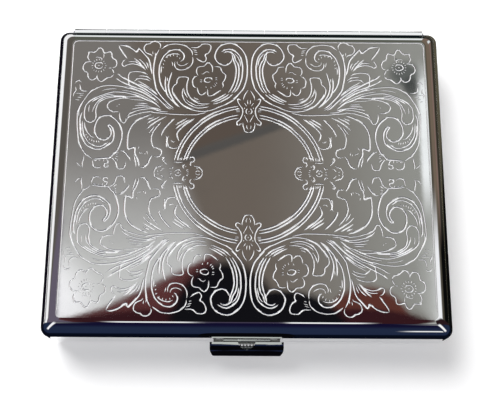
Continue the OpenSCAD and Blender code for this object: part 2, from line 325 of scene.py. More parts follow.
def engravedPanel(bm, strokes, cut):
    # Cuts the strokes into the flat panel, with a triangulation along their rims and beds.
    p = panel
    border = outline(p["w"], p["d"], p["corner"], p["y"])
    rim = outline(p["w"] - p["rim"], p["d"] - p["rim"], p["corner"] - p["rim"], p["y"])
    spots = [spot.xy for spot in border + rim]
    n = len(border)
    edges = [(start + k, start + (k + 1) % n) for start in (0, n) for k in range(n)]
    runs = []
    for points, half in strokes:
        along = stations(points, half)
        chains = []  # a rim, the bed and the other rim, which meet at the stroke's ends
        for offset in (-1, 0, 1):
            first = len(spots)
            used = along[1:-1] if offset else along
            spots += [here + side * w * offset for here, side, w in used]
            chains.append(list(range(first, len(spots))))
        for chain in (chains[0], chains[2]):
            chain.insert(0, chains[1][0])
            chain.append(chains[1][-1])
        for chain in chains:
            edges += zip(chain, chain[1:])
        runs += [(a[0], b[0] - a[0], a[2], b[2] - a[2]) for a, b in zip(along, along[1:])]
    verts, _, faces = geometry.delaunay_2d_cdt(spots, edges, [], 0, groove["merge"], False)[:3]
    near = kdtree.KDTree(len(runs))
    for k, run in enumerate(runs):
        near.insert((run[0].x, run[0].y, 0), k)
    near.balance()
    made = []
    for v in verts:
        deep = 0.0  # how far the point lies within the rims of the widest groove near it
        for _, k, _ in near.find_range((v.x, v.y, 0), groove["search"]):
            here, run, w, widening = runs[k]
            t = min(1.0, max(0.0, (v - here).dot(run) / max(run.length_squared, 1e-12)))
            deep = max(deep, w + widening * t - (v - here - run * t).length)
        deep = 0.0 if deep < groove["least"] else deep
        spot = bm.verts.new((v.x, v.y, 0 - groove["slope"] * deep))
        spot[cut] = 1.0 if deep else 0.0
        made.append(spot)
    for f in faces:
        bm.faces.new([made[k] for k in f])
    print("engraved panel:", len(verts), "points,", len(faces), "triangles")


def sortFaces(bm):
    # The extrusion makes its faces in another order each run, so they are put in one order.
    bm.verts.index_update()
    size = len(bm.verts)

    def rank(face):
        first, second, third = sorted(spot.index for spot in face.verts)[:3]
        return (first * size + second) * size + third

    bm.faces.sort(key=rank)


def addCover(node, body, strokes, turnedOver):
    bm = bmesh.new()
    within = bm.faces.layers.float.new("inside")
    cut = bm.verts.layers.float.new("cut")
    around = bm.verts.layers.int.new("around")
    outside, inside = coverRings()
    start = [bm.verts.new(p) for p in outside[0]]
    for k, spot in enumerate(start):
        spot[around] = k
    edges = [bm.edges.new((start[k - 1], start[k])) for k in range(len(start))]
    for row, ring in enumerate(outside[1:] + inside, 1):
        added = bmesh.ops.extrude_edge_only(bm, edges=edges)["geom"]
        edges = [part for part in added if isinstance(part, bmesh.types.BMEdge)]
        for spot in {spot for edge in edges for spot in edge.verts}:
            spot.co = ring[spot[around]]
        for face in {face for edge in edges for face in edge.link_faces}:
            face[within] = 1.0 if row > len(outside) else 0.0
    floor = bmesh.ops.contextual_create(bm, geom=edges)["faces"][0]
    floor[within] = 1.0
    engravedPanel(bm, strokes, cut)
    bmesh.ops.remove_doubles(bm, verts=bm.verts, dist=cover["merge"])
    bmesh.ops.dissolve_degenerate(bm, edges=bm.edges, dist=cover["sliver"])
    bm.verts.layers.int.remove(around)
    bmesh.ops.translate(bm, verts=bm.verts, vec=(0, 0, cover["caseHigh"]))
    if turnedOver:
        bmesh.ops.scale(bm, verts=bm.verts, vec=(1, 1, -1))
        bmesh.ops.translate(bm, verts=bm.verts, vec=(0, 0, cover["caseHigh"]))
    sortFaces(bm)
    bmesh.ops.recalc_face_normals(bm, faces=bm.faces)
    bm.transform(Matrix.Scale(mm, 4))
    name = node + "_piece"
    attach(addPiece(name, finishMesh(bm, name, cover["sharp"]), "mirror_chrome", node), body)


# Strokes of one quarter: x to the right, then the distance towards the clasp, from
# the lid's middle. The letter is the stroke's weight.
quarterStrokes = """
b 4.2 18.4 3.2 19.3 2.4 20.2 1.6 21.3 1.1 22.7 0.8 24 0.65 25.5 0.65 27 0.75 28.5 1.0 29.8 1.4 30.8
  2.1 31.9 3.0 32.7 4.0 33.25 5.1 33.45 6.2 33.2 7.3 32.7 8.1 31.8 8.5 30.9 8.7 29.9 8.5 29.1 8.1 28.5
  7.5 27.9 6.7 27.55 5.9 27.5 5.1 27.9 4.6 28.6 4.3 29.3
b 3.95 20 3.0 21.3 2.4 22.7 2.0 24 1.85 25.5 1.8 27 2.0 28.3 2.4 29.8 3.2 30.9 4.1 31.5 5.1 31.85 6.2 31.6
  7.2 31.0
m 2.25 27 2.5 28.6 3.1 29.9 3.9 30.7
b 4.5 20 3.6 21.5 3.1 22.9 2.8 24.2 2.7 25.5 2.75 27 3.1 28.2 3.6 29 3.9 30 4.3 30.7 5.3 31.15 6.1 31.0
  6.6 30.6
b 5.4 20 4.6 21.2 4.0 22.6 3.6 24 3.4 25.5 3.4 26.5 3.7 27.8 4.1 28.9 4.3 29.8 4.5 30.7
m 2.6 19.5 3.3 19 3.9 18.3 4.6 17.8 5.4 17.3 6.3 16.9 7.2 16.5 9 15.7 11 15.25 13 15.4 14.7 15.9 16 16.6
  17 17.5 17.7 18.5 18.3 19.5 18.6 20.2
m 4.0 19.9 5 19 6 18.3 7 17.8 8 17.4 9 17.1
m 4.9 19.9 5.7 19.2 6.7 18.6 7.6 18.1 8.8 17.6
m 5.6 20 6.6 19.3 7.6 18.7 8.5 18.2 9.5 17.8
m 9.7 16.5 11.8 16.15 13.2 16.3 14.5 16.8 15.6 17.7 16.3 18.9 16.5 20 16.4 21.3
m 9.5 17.25 11.5 17.2 13.0 17.6 14.2 18.4 14.9 19.4 15.35 20.6 15.45 22 15.3 23 15.1 23.9 15.4 24.2
  16.3 24.3 17.2 24.2 17.8 23.6 17.95 22.5 18.6 21.9 18.95 21.2 18.85 20.2 18.4 19.2 17.5 18
m 6.9 20.9 8.3 19.9 9.2 19.4 10.1 19.4 10.3 20.2 10.3 21.2
m 10.5 20.4 11.3 19.7 12.0 19.6 12.6 20.3 12.9 21.6
m 13.0 21.4 13.7 21.7 14.05 22.7 14 23.6 13.5 24.3 12.7 24.6
m 6.7 21.3 6.5 22 6.7 22.8 6.3 23.4 6 24.2 6 25 6.6 25.5 7 26.1 7.3 26.9 8.1 27.1 9 27.05
m 9.2 25.4 9.2 26.3 9.3 27.1 9.7 27.8 10.3 28.1 10.9 27.7 11.3 27.2 12.1 27.1 12.9 26.8 13.15 26 13 25.2
  12.6 24.6
m 9.3 23.3 9.3 23.9 10.2 24.15 11 23.8 11.2 23.3 10.7 22.95 10 22.9 9.4 23.2
s 8.5 21.6 9 22.1
s 8.2 22 8.7 22.6
s 8 22.5 8.4 22.9
s 9.4 21.2 9.6 21.8
s 10.6 21.4 10.8 21.9
s 7.8 23.6 8.6 23.6
s 7.8 24.1 8.6 24.1
s 11.6 23 12.2 23
s 11.6 23.5 12.2 23.5
s 9.8 25.3 10.3 25.7 10.9 25.6 11.3 25.2 11.9 25
m 13.4 29.5 13 29.1 12.3 28.6 11.5 28.3 11 28.6 10.8 29.2 11 29.8 11.2 30.2 10.6 30.5 10.1 31 9.8 31.7
  9.7 32.4 10 33 10.8 33.2 11.8 33.1 12.4 32.6 13 32.2 14 32.2 14.8 32.2
s 12.9 30.2 13.8 30.4
s 12.9 30.8 14.1 31.1
s 13.1 31.3 14.4 31.7
m 14.2 29.9 14.3 30.8 14.7 31.6 15.6 32.4 16.5 32.8 17.8 33.1 19 33.1 20.1 32.9 21 32.4 21.8 31.8 22 31.5
m 14.2 29.8 14.1 28.8 14.3 27.8 14.9 26.9 15.8 26.35 16.8 26.15 17.8 26.3 18.4 26.9 18.6 27.6 18.5 28.4
m 15.1 18.7 15.8 19.8 16.15 20.8 16.2 21.5
b 16.8 16.2 17.5 16.7 18.2 17.6 19.1 19.0 19.7 20.4 19.95 21.7 19.9 22.8 19.7 23.8 19.4 24.9 19.1 25.7
b 17.1 16.4 18.0 17.1 19.1 18.2 20.2 19.6 20.6 21.2 20.75 22.4 20.7 24.5
s 20.2 22.9 20.25 24.2
b 18.3 16 19.3 16.7 20.3 17.7 21.4 18.9 22.3 20.1 22.9 21 23.15 22 23.4 23.2 23.7 25 23.75 26.5 23.65 28
  23.4 29.5 23.2 30.6
b 20.1 19.8 21 20.8 21.6 21.8 22 22.8 22.2 23.8 22.35 25 22.3 27.2 22 28.3 21.4 29.7 20.3 30.9 19.2 31.5
  18 31.6 17.2 31.3 16.6 30.7 16.3 29.9 16.4 29.2 16.8 28.6 17.3 28.4
m 21.85 25 21.85 26.5 21.7 27.4
s 21.2 26.6 21.6 27.0
s 21.1 27.5 21.6 27.9
s 20.9 28.4 21.4 28.9
s 20.4 29.2 20.7 29.8
s 19.6 29.6 19.8 30.2
s 18.9 29.7 18.9 30.3
s 18.1 29.5 17.9 30.1
s 17.5 29.0 17.2 29.5
m 17.2 30.1 18.2 30.45 19.2 30.4 20.3 29.95 21 29.3
s 15.1 28.1 15.8 27.6 16.6 27.3 17.4 27.4 17.9 27.9 18 28.6
s 19 27 19.1 27.8 19.3 28.4
m 22.4 31.8 22.2 32.4 22.3 33 22.8 33.6 23.6 33.8 24.3 33.6 24.8 33.2 25.6 33 26.2 32.4 26.25 31.6
  25.9 30.9 25.2 30.4 24.4 30.1 24.1 29.6
m 22.4 31.8 22.7 31.2 23 30.6 23.3 29.9 23.6 29
s 23.4 30 23.5 30.8
s 24 30.1 24.1 31.2
b 24 24.8 24.4 26.5 24.7 28 25.2 29.2 26 30.2 26.8 31.1 27.5 31.8 27.8 31.4 27.9 30.9 28.3 31 29 31.6
  30 32.2 31.2 32.6 32.5 32.7
b 32.5 32.7 32.3 31.9 31.6 30.8 30.8 29.7 30.3 29
m 25 26.5 25.3 27.6 25.8 28.4
m 25.2 26.1 26 27.6 26.8 28.5 27.5 29
m 25.6 25.9 26.6 27.3 27.7 28.4 28.7 28.8
m 26 26.2 26.9 27.3 28 28.1 29.2 28.3 30.2 28.2
m 26.6 26.8 27.6 27.4 29 27.7 30.2 27.4 31 27 31.5 27.3 31.5 27.9 31 28.6 30.5 28.8
m 24.2 22.9 25 23.4 26 23.7 27.2 23.8 27.9 23.4 28.6 22.8
m 24 23.4 25.2 24.2 26.5 24.5 27.5 24.4
m 24.9 24.7 25.8 25.2 27.2 25.6 28.4 25.6 29.3 25.4 29.8 24.8 29.75 23.5 29.6 22.3 29 21.8 28.3 21.5
b 19 15.6 20 16.2 20.9 17.1 22.2 18.4 23.6 19.6 25 20.6 26.6 21.5 28.2 22.4 30.1 23.4 31.2 24 32 24.6
  32.6 25
m 22.2 19.2 23.5 20.2 25 21.3 26.5 22 27.6 22.5
m 21.5 15.9 22.4 16.7 23.6 17.5 25 18.1 26.3 18.7 27.7 19.3 29 19.7 31 20.1 33 20.2 34.4 19.9 35.8 19.4
  37 18.9 38 18.3 38.9 17.7 39.6 17 40 16.2 40.1 15 40.1 14 39.9 13.2 39.5 12.6 39 12.3 38.4 12.2
  37.8 12.5 37.4 13 37.25 13.8 37.35 14.6 37.4 15.4 37.2 16.3 36.9 17.1 36.3 17.7 35.5 18.2 34.6 18.6
  32.6 18.9 30 18.9 28 18.95 26.5 18.8 25 18
m 22.3 17.9 23.4 18.5 24.6 19.2 26 20 28 20.8 29.8 21.2 31.2 21.6 32.8 21.8 34.2 21.9 35.5 21.8 36.7 21.5
  37.6 21 38.6 20.4 39.4 19.6 40.0 18.6 40.5 17.8 41.1 16.8 41.5 15.8 41.8 14.8 41.8 13.2 41.7 11.6
  41.5 10 41.3 8.4 41 7 40.4 5.7 39.8 4.8 39.2 4 38.4 3.5 37.5 2.8
m 23.5 19 25.2 20.1 26.6 20.9 28.1 21.4 30.1 22.2 31.2 22.7 32.3 23.4 33.1 23.8
m 38.2 14.7 38.1 15.5 37.8 16.3 37.4 17.1 36.8 17.8 36 18.4 35 18.9 33.5 19.15 32 19.15 30.1 19.1
m 38.6 17.4 37.7 18 36.7 18.6 35.6 19.1 34.4 19.5 32.8 19.6
m 41.2 22.6 41.6 23 42.1 23.1 42.6 22.8 42.9 22.1
m 41.7 22.3 41.5 21.4 41.3 20.7 40.6 20.35 39.4 20.4
m 42.7 21.6 42.5 20.5 42.9 19.9 43 19.3 42.9 18.8
s 42.8 19.8 41.4 19.7 40.2 19.7
s 41.8 19.3 40.5 19.2
s 42.2 18.8 41 18.6
s 42.7 18.2 41.4 17.9
m 33.3 25 33.9 24.2 34.7 24 35.3 23.6 36 23.05 36.6 22.9 37.2 23.4 37.5 24 37.5 24.7
m 37.5 24.7 37.7 23.9 38.2 23.4 38.9 23.3 39.5 23.7 39.8 24.4 39.9 25.2 40.5 25.5 41 26.1 41.1 26.9
  40.8 27.6 40.2 28.1 39.4 28.2 38.7 28.2
m 39.4 28.3 39.9 28.9 40.1 29.6 39.9 30.2 39.9 30.7 39.3 30.8 38.5 30.7 38 31.1 37.6 31.7 37.1 31.9
  36.6 31.6 36.3 30.9 36 30.5 35 30.8 34.5 30.8 34.2 30.3 34.1 29.5 33.8 29 33.2 28.7 32.9 28.1 32.9 27.4
  33.2 26.8 33.9 26.5
m 34.1 26.4 33.7 25.8 33.4 25
s 34 26.4 34.9 26.6
s 36.2 29 36.1 30 36.2 30.5
m 36.2 27.2 36.5 26.6 37.2 26.4 37.9 26.6 38.2 27.15 37.9 27.75 37.2 27.95 36.5 27.8 36.2 27.25
s 36.9 27.2 37.5 27.1
s 36.1 29.1 36.7 29 36.8 29.2 37.9 29.4 38.1 29
b 37.5 2.8 36.5 2.9 34.5 3.1 33.4 3.2 32.7 4 31.9 4.8 31.3 6.1 31 7.2 30.8 8 30.75 9 30.8 9.8 31.1 10.9
  31.6 11.9 32.2 12.7 33 13.4 33.8 13.9 34.5 14 35.4 13.9 36.2 13.5 36.8 12.9 37.1 12.2 37.4 11.3
  37.45 10.3 37.3 9.5 36.9 8.8 36.3 8.1 35.7 7.8 35 7.7 34.4 7.9 33.9 8.3 33.5 8.9 33.4 9.7 33.5 10.2
  33.8 10.8 34.2 11.3 34.1 11.6 33.6 11.4 33.1 10.7 32.8 9.9 32.7 9 32.8 8 33.1 7.2 33.6 6.7 34.3 6.2
  35 5.8 35.9 5.4 36.8 5.35 37.6 5.5 38.4 5.9 39.1 6.4 39.7 7.1 40.2 8 40.6 9 40.85 10 41 11.2 41.1 12.6
  41.0 13.8 40.6 15
m 33.9 7.3 34.6 6.7 35.4 6.2 36.3 6.1 37.2 6.2 38 6.6 38.8 7.2 39.3 7.9 39.9 8.9 40.2 10 40.4 11.4
  40.5 12.8
m 37.3 8.3 38 8.5 38.7 9.2 39.2 9.8 39.6 10.6 39.85 11.4 39.95 12.4
s 36.1 6.9 36.4 7.7
s 36.7 6.9 36.9 7.7
s 37.3 7 37.5 7.8
s 37.9 7.2 37.95 8.1
s 38.6 7.5 38.4 8.2
s 39.1 8.1 38.8 8.7
s 39.6 8.8 39.2 9.3
m 30 13.4 29.9 12.9 30.1 12.4 30.4 12.1 30.9 12.3 31.3 12.9 31.5 13.6 31.6 14.4 31.5 15
m 31.6 14.95 32.4 15 33 15 33.7 15.2 34.3 15.7 34.6 16.3 34.6 16.9 34.2 17.4 33.6 17.8 33 18.1 32 18.4
  31 18.6 30.3 18.6 29 18.5
s 32.1 16.5 32.5 16.4
s 31.5 16.9 31.9 16.9
m 30 12.5 29.8 13 29.3 13.6 28.6 14 27.8 14.3 26.8 14.6 25.8 14.9 24.8 15 24 15.1 23.3 14.9 22.4 14.8
  21 14.7 19.5 14.5 17 14.4 14.5 14.35 13 14.4 11.6 14.7 10.3 15
m 29.9 13.6 29.2 14.4 28.4 14.9 27.4 15.3 26.2 15.6 25 15.8 23.7 15.9 22.8 15.6 22 15.3 21 15.1 19.6 15.05
m 28.6 15.6 27.8 15.9 26.8 16.1 25.5 16.3 24.4 16.3 23.3 16.1 22.4 15.8 21.4 15.5
m 28.2 16.6 26.9 16.75 25.5 16.75 24.4 16.7
m 27.5 17.25 26 17.25 24.6 17.15
b 26.3 0.9 26.4 1.6 26.6 2.4 26.9 3.2 27.3 3.9 27.5 4.6 27.5 5.7 27.8 5.9 28.2 5.7 28.7 5.5 29.1 5.4
  29.3 6 29.35 7 29.35 8 29.3 9 29.15 9.8 28.9 10.5 28.5 11.3 28 12 27.4 12.6 26.3 13.3 25.5 13.7
  24.5 14.1 23.5 14.4
m 27 0.9 27.1 1.6 27.3 2.4 27.5 3.2 27.55 4.1
b 26.2 0.8 25.3 0.85 24.7 1.2 24.2 1.9 23.9 2.8 23.2 4.05
m 23 3.75 22.3 3.5 21.8 3.6 21.4 3.8 21.15 4.3 21.1 4.9 21.3 5.3 21.8 5.5 22.5 5.8 23.1 6 23.4 6.7
  23.6 7.5 23.65 8.3 23.5 9.2 23.2 10 22.8 10.6 22.3 11.3 21.7 12 21.4 12.5
m 24.3 9.3 23.9 10 23.4 10.7 22.9 11.4
m 25 10.4 24.4 11 23.6 11.7 22.8 12.3 21.9 12.9 21 13.4 20 14
m 24.9 11.9 24.2 12.4 23.4 12.9 22.5 13.4 21.6 13.9
m 24.8 12.9 24 13.3 23 13.8
s 24.5 4 24.6 5.1
s 25 4 25 4.6
s 25.4 4.1 25.8 4.4 26.3 4.5 26.5 5
s 26.8 5.4 26.6 5.8 26.4 6.2
b 21.15 8.7 21.2 9.2 21 9.8 20.6 10.6 20 11.4 19.5 12 18.8 12.7 18 13.4
m 17.1 6.1 17.7 5.75 18.5 5.7 19.2 5.95 19.6 6.6 19.8 7.5 19.75 8.3 19.3 8.8
m 19.4 5.9 19.95 6.2 19.95 7.2 19.9 8.5 20.4 8.85
s 17.7 7.5 18.2 7.3 18.7 7.5 18.95 7.8
b 16.85 7.5 17.25 8.2 17.5 9.2 17.3 9.9 16.6 10.8 15.6 11.7 14.4 12.6 13.2 13.5
m 18 10.4 17.4 11.1 16.4 11.8 15.4 12.5 14.4 13.2
m 18.1 11.5 17.4 12 16.6 12.5 15.8 13 15 13.5
b 28.4 2.4 28.7 3.1 29.2 3.8 29.8 4.5 30.4 4.9 31.2 5
m 29.5 2.3 29.6 1.6 29.8 1 30 0.6 30.6 0.45 31.3 0.5 31.6 1 31.8 1.7 32.1 2.3 32.6 2.9 33.2 3.2
s 31.3 2.4 31.7 2.8 32.3 3.2
s 31.3 3.5 32.2 3.6
s 31.3 4 32.2 4
s 31.3 4.5 32 4.45
m 33.6 1.5 33.7 0.95 34.2 0.85 34.7 1 34.6 1.6 34.1 1.9 33.7 1.9 33.8 2.4 34.1 2.8 34.6 3
m 35.3 1.2 35.6 0.8 36.3 0.65 36.9 0.8 37.3 1.3 37.4 2 37.6 2.7
m 36.2 2.6 37.2 2.4
s 34.8 2.2 34.9 2.9
s 35.5 2.6 36 2.5
s 15.7 18.6 14.9 17.8 14 17.2 13 16.8 11.8 16.75 10.6 16.8
s 14.5 19.0 13.9 18.3 12.9 17.9 11.9 17.85
s 13.7 18.9 13.1 18.5 12.3 18.3
s 17.9 18.9 16.9 17.6 15.9 16.7 14.6 16.1 13.2 15.8
s 20.7 17.4 19.9 16.6 19.1 16.0 18.3 15.6
s 30.5 21.8 28.6 21.15 26.8 20.35 25 19.35 23.2 18.15 22 17.1
s 31.5 20.7 29.5 20.4 27.5 19.8 25.6 18.95 23.8 17.9 22.4 16.9
s 27.6 23.2 26.4 22.5 25 21.7 23.6 20.6 22.5 19.6
s 29.6 18.3 28 18.2 26.6 18.1 25.4 17.9
s 36.4 20.4 35.2 20.8 33.8 21.0 32.2 21.0
s 41.3 13.6 41.5 15 41.2 16.2 40.6 17.4
s 38.9 16.9 39.1 15.8 39 14.8
s 40.5 9.8 40.75 11 40.8 12.2
s 27 27.9 27.9 28.7 28.7 29.2
m 39.7 0.6 39.85 1.2 39.9 2 39.7 2.8 39.6 3.9
s 39.9 0.9 40.5 1.2 41 1.7 41.5 2.2
"""
# Half of a fleuron above and below the round field, then half of one beside it. These and the
# arcs start from the pattern's middle.
fleuronStrokes = """
m -0.3 9.87 0.2 9.86 0.6 9.95 1.05 10.4 1.3 11.1 1.45 11.8 1.4 12.5
m 1.45 12.1 1.9 12.1 2.4 11.75 2.9 11.9 2.95 12.4 2.7 12.8 2.3 13.1 2.0 13.6 1.7 14.3 1.55 15 1.55 15.7
  1.75 16.3 2.2 16.9 2.6 17.6 2.85 18.3 2.6 18.6 2.1 18.3 1.7 18.1
m 1.35 18.2 1.3 18.9 1.0 19.7 0.6 20.4 0.15 21
s 0.2 12.3 0.4 12.9 0.7 13.5 1.05 14.1
m 0.05 14.6 0.5 14.75 0.75 15.3 0.5 15.85 0.05 16
s 0.2 10.6 0.5 11.1 0.5 11.8
s 0.2 17 0.35 17.7 0.3 18.4
s 0.55 16.6 0.9 17.2 1.2 17.5
s 2 15.25 3.2 15.2
s 2 15.65 3.3 15.6
s 2.1 16.05 3.2 16.1
s 0 15.1 0 15.5
s 0.95 13.9 1.1 14.4
s 1 15.9 1.15 16.3
"""
sideFleuronStrokes = """
m 11.05 -0.3 11.05 0.1 11.1 0.5 11.4 1.0 11.9 1.4 12.6 1.6 13.3 1.7
m 13.5 1.5 13.9 1.9 13.95 2.4 13.6 2.7 13.15 2.8 12.95 3.3 13.15 3.8 13.7 3.95 14.1 3.6 14.0 3.2
m 14.3 3.9 14.9 3.8 15.4 3.4
m 15.1 2.1 15.6 2.0 15.75 1.6 15.5 1.1 15.1 0.8
m 15.6 2.75 16.4 2.6 17.4 2.6 18.1 2.8
m 18.0 1.7 18.2 1.2 18.6 0.8
m 19.3 1.8 19.7 2.2 20.05 2.6 20.5 3.1 20.6 3.6 20.2 3.9 19.8 3.6
s 20.0 1.3 20.6 0.9 21.0 0.3
m 20.4 1.9 21.2 1.6 22.0 1.25 22.45 0.6 22.5 0 22.45 -0.3
s 21.4 0.5 21.8 0.25
m 16.1 0.05 16.3 0.55 16.85 0.75 17.4 0.55 17.6 0.05
s 11.6 0.05 11.75 0.4 12.1 0.5 12.5 0.35 12.7 0.05
s 14.2 0.35 14.8 0.2
s 14.3 0.9 15 0.5
s 16.0 3.0 16.0 4.0
s 16.35 3.0 16.35 3.9
s 16.7 3.0 16.7 3.8
s 17.05 3.0 17.05 3.7
s 16.5 0.1 17.2 0.15
s 18.2 0.3 18.9 0.25
s 18.5 1.1 19 1.2
s 14.8 1.5 15.2 1.7
s 12 1 12.6 1.05
s 20.1 2.9 20.2 3.4
"""
# The pattern's middle on the lid, the arcs round the plain field, as half sizes across and along,
# with the gaps for the fleurons, and the ticks in the corner flower.
pattern = {"x": 0.15, "y": 0.45}
field = {"arcs": [(15.3, 14.25), (15.9, 15.0), (17.4, 16.6), (18.1, 17.3)], "besideGap": 2.95,
         "aboveGap": 2.35, "steps": 12, "half": weights["b"] * 0.95}
flower = {"x": 37.2, "y": 27.15, "near": 1.35, "far": 1.95, "ticks": 16}
# The line round the panel: half its width, its distance in, where it ends short of the front, and
# the pace of its points.
borderLine = {"half": 0.13, "inset": 0.36, "stop": 1.5, "pace": 4}


def readStrokes(text):
    strokes = []
    for word in text.split():
        if word in weights:
            strokes.append(([], weights[word]))
        else:
            strokes[-1][0].append(float(word))
    return [(list(zip(values[::2], values[1::2])), half) for values, half in strokes]


def patternStrokes():
    px, py = pattern["x"], pattern["y"]
    quarter = [([(x - px, y + py) for x, y in points], half)
               for points, half in readStrokes(quarterStrokes)]
    quarter += [([(x, y + py) for x, y in points], half)
                for points, half in readStrokes(fleuronStrokes)]
    quarter += readStrokes(sideFleuronStrokes)
    for a, b in field["arcs"]:
        start = math.degrees(math.asin(field["besideGap"] / b))
        end = math.degrees(math.acos(field["aboveGap"] / a))
        turns = [math.radians(start + (end - start) * k / field["steps"])
                 for k in range(field["steps"] + 1)]
        quarter.append(([(a * math.cos(t), b * math.sin(t)) for t in turns], field["half"]))
    for k in range(flower["ticks"]):
        a = math.radians(360 * k / flower["ticks"])
        quarter.append(([(flower["x"] - px + r * math.cos(a), flower["y"] + py + r * math.sin(a))
                         for r in (flower["near"], flower["far"])], weights["s"]))
    return [([(px + sx * x, py + sy * y) for x, y in points], half)
            for sx in (1, -1) for sy in (1, -1) for points, half in quarter]


def borderStroke():
    w, d = panel["w"] - borderLine["inset"], panel["d"] - borderLine["inset"]
    loop = outline(w, d, panel["corner"], panel["y"])
    low = panel["y"] - panel["d"] + borderLine["stop"]
    bend = cover["cornerSteps"] + 1
    bends = [p.xy for p in loop[:bend] + loop[bend + 4:2 * bend + 4]]  # without the notch's four
    bends = [Vector((w, low))] + bends + [Vector((-w, low))]
    points = []
    for a, b in zip(bends, bends[1:]):
        count = max(1, round((b - a).length / borderLine["pace"]))
        points += [a.lerp(b, k / count) for k in range(count)]
    return points + [bends[-1]], borderLine["half"]


addCover("lid_cover", "lid", patternStrokes() + [borderStroke()], False)
addCover("base_cover", "base", [borderStroke()], True)
print("covers made")

# The small parts keep the CAD's shapes, with their edges eased by the width given here.
easing = {"segments": 2, "sharp": 32, "merge": 1e-7, "flat": 0.5}
smallParts = {
    "mirror_chrome": {"base_hinge": ("base", 0.09), "lid_hinge": ("lid", 0.09),
                      "clasp_bar": ("clasp", 0.12), "catch_bead": ("lid", 0.06)},
    "satin_chrome": {"base_frame": ("base", 0.06), "lid_frame": ("lid", 0.06),
                     "base_arm_bracket": ("base", 0.06), "lid_arm_bracket": ("lid", 0.06),
                     "clasp_bracket": ("base", 0.06), "base_arm": ("lower_arm", 0.07),
                     "lid_arm": ("upper_arm", 0.07)},
    "spring_steel": {"hinge_pin": ("base", 0.1), "base_arm_pin": ("base", 0.07),
                     "lid_arm_pin": ("lid", 0.07), "base_arm_rivets": ("base", 0.12),
                     "lid_arm_rivets": ("lid", 0.12), "clasp_pin": ("base", 0.06)},
}


def addEased(node, body, slot, width):
    bm = bmesh.new()
    bm.from_mesh(cad[node].data)
    bmesh.ops.remove_doubles(bm, verts=bm.verts, dist=easing["merge"])
    if "frame" not in node:  # dissolving would close a frame's opening with a face
        bmesh.ops.dissolve_limit(bm, angle_limit=math.radians(easing["flat"]), verts=bm.verts,
                                 edges=bm.edges)
    name = node + "_piece"
    obj = addPiece(name, finishMesh(bm, name, easing["sharp"]), slot, node)
    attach(obj, body)
    edge = obj.modifiers.new("edges", "BEVEL")
    edge.width = width * mm
    edge.segments = easing["segments"]
    edge.limit_method = "ANGLE"
    edge.angle_limit = math.radians(easing["sharp"])
    edge.harden_normals = True


for slot, nodes in smallParts.items():
    for node, (body, width) in nodes.items():
        addEased(node, body, slot, width)
print("small parts made")

# Springs of round wire, along the paths of the CAD's. Each coil runs across the case at y and z,
# from one angle to the other, with a straight leg at each end.
claspSpring = {"y": -39.55, "z": 6.4, "coil": 0.62, "wire": 0.15, "turns": 6, "pitch": 0.78,
               "from": 0, "to": 5.5 * 360, "legs": (1.0, 0.45)}
armSink = 6.76  # how steeply an arm slopes down at rest
armSpring = {"y": 35.35, "z": 7.65, "coil": 0.80, "wire": 0.18, "turns": 4, "pitch": 0.80,
             "from": 15, "to": 4 * 360 + 90 + armSink, "legs": (2.05, 3.9)}
wire = {"stepsATurn": 28, "legSteps": 4, "roundness": 3, "sharp": 50, "merge": 1e-7}


def springPath(s):
    def radial(angle):
        return Vector((0, math.cos(math.radians(angle)), math.sin(math.radians(angle))))

    turns = (s["to"] - s["from"]) / 360
    first = Vector((-s["turns"] * s["pitch"] / 2, s["y"], s["z"]))
    count = round(turns * wire["stepsATurn"])
    points = []
    for t in (k / count for k in range(count + 1)):
        points.append(first + Vector((s["pitch"] * turns * t, 0, 0))
                      + s["coil"] * radial(s["from"] + (s["to"] - s["from"]) * t))
    start, end = points[0], points[-1]
    parts = [k / wire["legSteps"] for k in range(1, wire["legSteps"] + 1)]
    before = [start - radial(s["from"] + 90) * s["legs"][0] * part for part in parts[::-1]]
    after = [end + radial(s["to"] + 90) * s["legs"][1] * part for part in parts]
    return before + points + after


def addSpring(node, s, upsideDown=False):
    name = node + "_piece"
    path = springPath(s)
    if upsideDown:
        path = [Vector((p.x, p.y, cover["caseHigh"] - p.z)) for p in path]
    curve = bpy.data.curves.new(name, "CURVE")
    curve.dimensions = "3D"
    curve.bevel_depth = s["wire"] * mm
    curve.bevel_resolution = wire["roundness"]
    curve.use_fill_caps = True
    line = curve.splines.new("POLY")
    line.points.add(len(path) - 1)
    for spot, p in zip(line.points, path):
        spot.co = (p.x * mm, p.y * mm, p.z * mm, 1)
    maker = bpy.data.objects.new(name + "_maker", curve)
    tube = bpy.data.meshes.new_from_object(maker)
    bpy.data.objects.remove(maker)
    bm = bmesh.new()
    bm.from_mesh(tube)
    bpy.data.meshes.remove(tube)
    bmesh.ops.remove_doubles(bm, verts=bm.verts, dist=wire["merge"])
    bmesh.ops.recalc_face_normals(bm, faces=bm.faces)
    obj = addPiece(name, finishMesh(bm, name, wire["sharp"]), "spring_steel", node)
    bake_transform(obj)


addSpring("clasp_spring", claspSpring)
addSpring("base_arm_spring", armSpring)
addSpring("lid_arm_spring", armSpring, upsideDown=True)
print("springs made")

# The floor, the cards and the lamps are laid out in metres.
floorLook = {"half": 2, "z": -0.00003, "tone": 0.80, "rough": 0.9, "glow": 0.36}


def stagePlane(name, low, high, z, material):
    bm = bmesh.new()
    bmesh.ops.create_grid(bm, x_segments=1, y_segments=1, size=0.5)
    bmesh.ops.scale(bm, vec=(high[0] - low[0], high[1] - low[1], 1), verts=bm.verts)
    bmesh.ops.translate(bm, vec=((low[0] + high[0]) / 2, (low[1] + high[1]) / 2, z), verts=bm.verts)
    mesh = bpy.data.meshes.new(name)
    bm.to_mesh(mesh)
    bm.free()
    mesh.materials.append(material)
    obj = place(name, mesh)
    return obj


def lightPath(tree, name):
    return Shade(tree, addNode(tree, "ShaderNodeLightPath").outputs[name])


